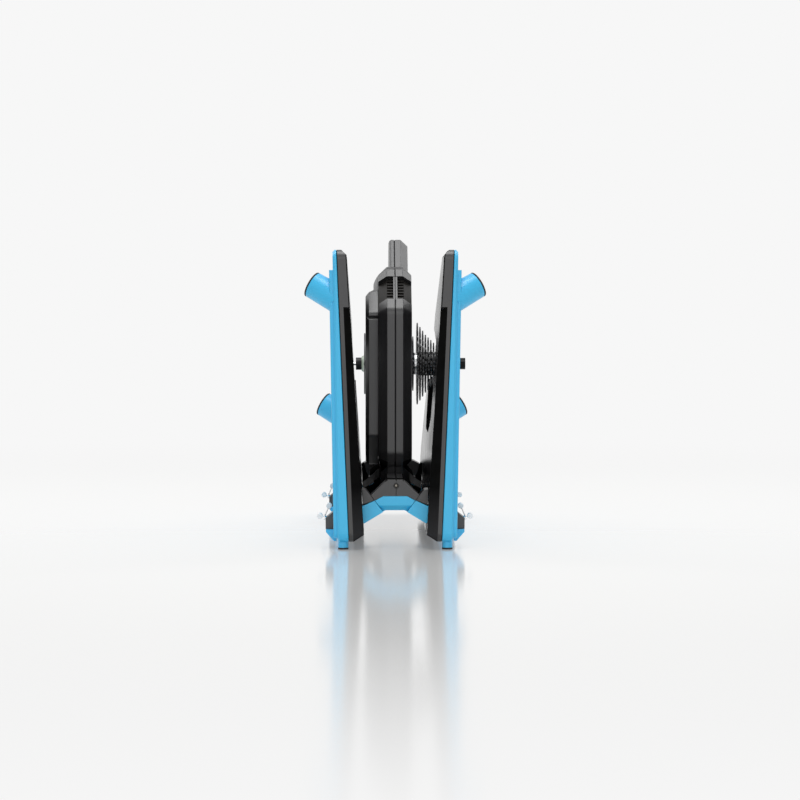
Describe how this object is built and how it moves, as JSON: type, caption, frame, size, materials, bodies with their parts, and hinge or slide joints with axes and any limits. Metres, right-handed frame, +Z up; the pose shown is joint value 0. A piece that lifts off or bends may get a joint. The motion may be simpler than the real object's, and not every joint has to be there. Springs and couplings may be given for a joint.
{
  "type": "direct drive bike trainer",
  "caption": "Direct drive bike trainer folded for storage: slim disc housing with freehub and cassette between two upright folding legs.",
  "frame": {"origin": "middle of the folded footprint, on the floor", "axes": "+X to the drive side, +Y to the front of the bike, +Z up"},
  "size_m": [0.2604, 0.62, 0.448],
  "materials": {
    "blue_paint": "blue powder coat",
    "black_plastic": "satin moulded",
    "rubber": "matte",
    "bright_steel": "polished",
    "cog_steel": "nickel plated",
    "dark_steel": "black oxide",
    "adapter_green": "matte anodised",
    "copper": "enamelled windings",
    "board": "solder mask"
  },
  "bodies": {
    "base": {"base_frame": "blue_paint", "front_crossbar": "black_plastic", "arm_rear_left": "blue_paint", "arm_rear_right": "blue_paint", "arm_front_left": "blue_paint", "arm_front_right": "blue_paint", "arm_cover_rear_left": "black_plastic", "arm_cover_rear_right": "black_plastic", "arm_cover_front_left": "black_plastic", "arm_cover_front_right": "black_plastic", "hinge_rod_left": "cog_steel", "hinge_rod_right": "cog_steel", "housing_left": "black_plastic", "housing_right": "black_plastic", "motor_cover": "black_plastic", "vent_grille": "black_plastic", "housing_screw": "bright_steel", "end_disc": "dark_steel", "circuit_board": "board", "power_socket": "rubber", "axle": "cog_steel", "stator": "copper", "bearing_left": "cog_steel", "bearing_right": "cog_steel", "adapter_left": "adapter_green", "adapter_right": "dark_steel", "skewer_rod": "bright_steel", "skewer_nut": "dark_steel", "skewer_cup": "dark_steel"},
    "leg_left": {"leg_shell_left": "blue_paint", "leg_cover_left": "black_plastic", "foot_tube_rear_left": "blue_paint", "foot_tube_front_left": "blue_paint", "foot_pad_rear_left": "rubber", "foot_pad_front_left": "rubber", "stand_pad_rear_left": "rubber", "stand_pad_front_left": "rubber", "latch_block_rear_left": "black_plastic", "latch_block_front_left": "black_plastic"},
    "leg_right": {"leg_shell_right": "blue_paint", "leg_cover_right": "black_plastic", "foot_tube_rear_right": "blue_paint", "foot_tube_front_right": "blue_paint", "foot_pad_rear_right": "rubber", "foot_pad_front_right": "rubber", "stand_pad_rear_right": "rubber", "stand_pad_front_right": "rubber", "latch_block_rear_right": "black_plastic", "latch_block_front_right": "black_plastic"},
    "latch_rear_left": {"latch_pull_rear_left": "bright_steel"},
    "latch_rear_right": {"latch_pull_rear_right": "bright_steel"},
    "latch_front_left": {"latch_pull_front_left": "bright_steel"},
    "latch_front_right": {"latch_pull_front_right": "bright_steel"},
    "rotor": {"rotor": "dark_steel", "drive_flange": "dark_steel"},
    "freehub": {"freehub": "dark_steel", "bearing_freehub": "cog_steel", "cassette": "cog_steel", "lockring": "cog_steel"},
    "skewer_lever": {"skewer_lever": "dark_steel"}
  },
  "joints": [
    {"name": "leg_left_fold", "type": "hinge", "parent": "base", "child": "leg_left", "pos_m": [-0.077, 0, 0.04], "axis": [0, -1, 0], "range_deg": [0, 120]},
    {"name": "leg_right_fold", "type": "hinge", "parent": "base", "child": "leg_right", "pos_m": [0.077, 0, 0.04], "axis": [0, 1, 0], "range_deg": [0, 120]},
    {"name": "latch_rear_left_pull", "type": "slide", "parent": "leg_left", "child": "latch_rear_left", "axis": [-0.866, 0, 0.5], "range_m": [0, 0.007], "stiffness_N_per_m": 600},
    {"name": "latch_rear_right_pull", "type": "slide", "parent": "leg_right", "child": "latch_rear_right", "axis": [0.866, 0, 0.5], "range_m": [0, 0.007], "stiffness_N_per_m": 600},
    {"name": "latch_front_left_pull", "type": "slide", "parent": "leg_left", "child": "latch_front_left", "axis": [-0.866, 0, 0.5], "range_m": [0, 0.007], "stiffness_N_per_m": 600},
    {"name": "latch_front_right_pull", "type": "slide", "parent": "leg_right", "child": "latch_front_right", "axis": [0.866, 0, 0.5], "range_m": [0, 0.007], "stiffness_N_per_m": 600},
    {"name": "rotor_spin", "type": "hinge", "parent": "base", "child": "rotor", "pos_m": [0, 0, 0.2586], "axis": [1, 0, 0], "continuous": true},
    {"name": "freehub_coast", "type": "hinge", "parent": "rotor", "child": "freehub", "pos_m": [0.05, 0, 0.2586], "axis": [1, 0, 0], "continuous": true},
    {"name": "skewer_lever_turn", "type": "hinge", "parent": "base", "child": "skewer_lever", "pos_m": [-0.08, 0, 0.2586], "axis": [0, 0, 1], "range_deg": [0, 180]}
  ]
}
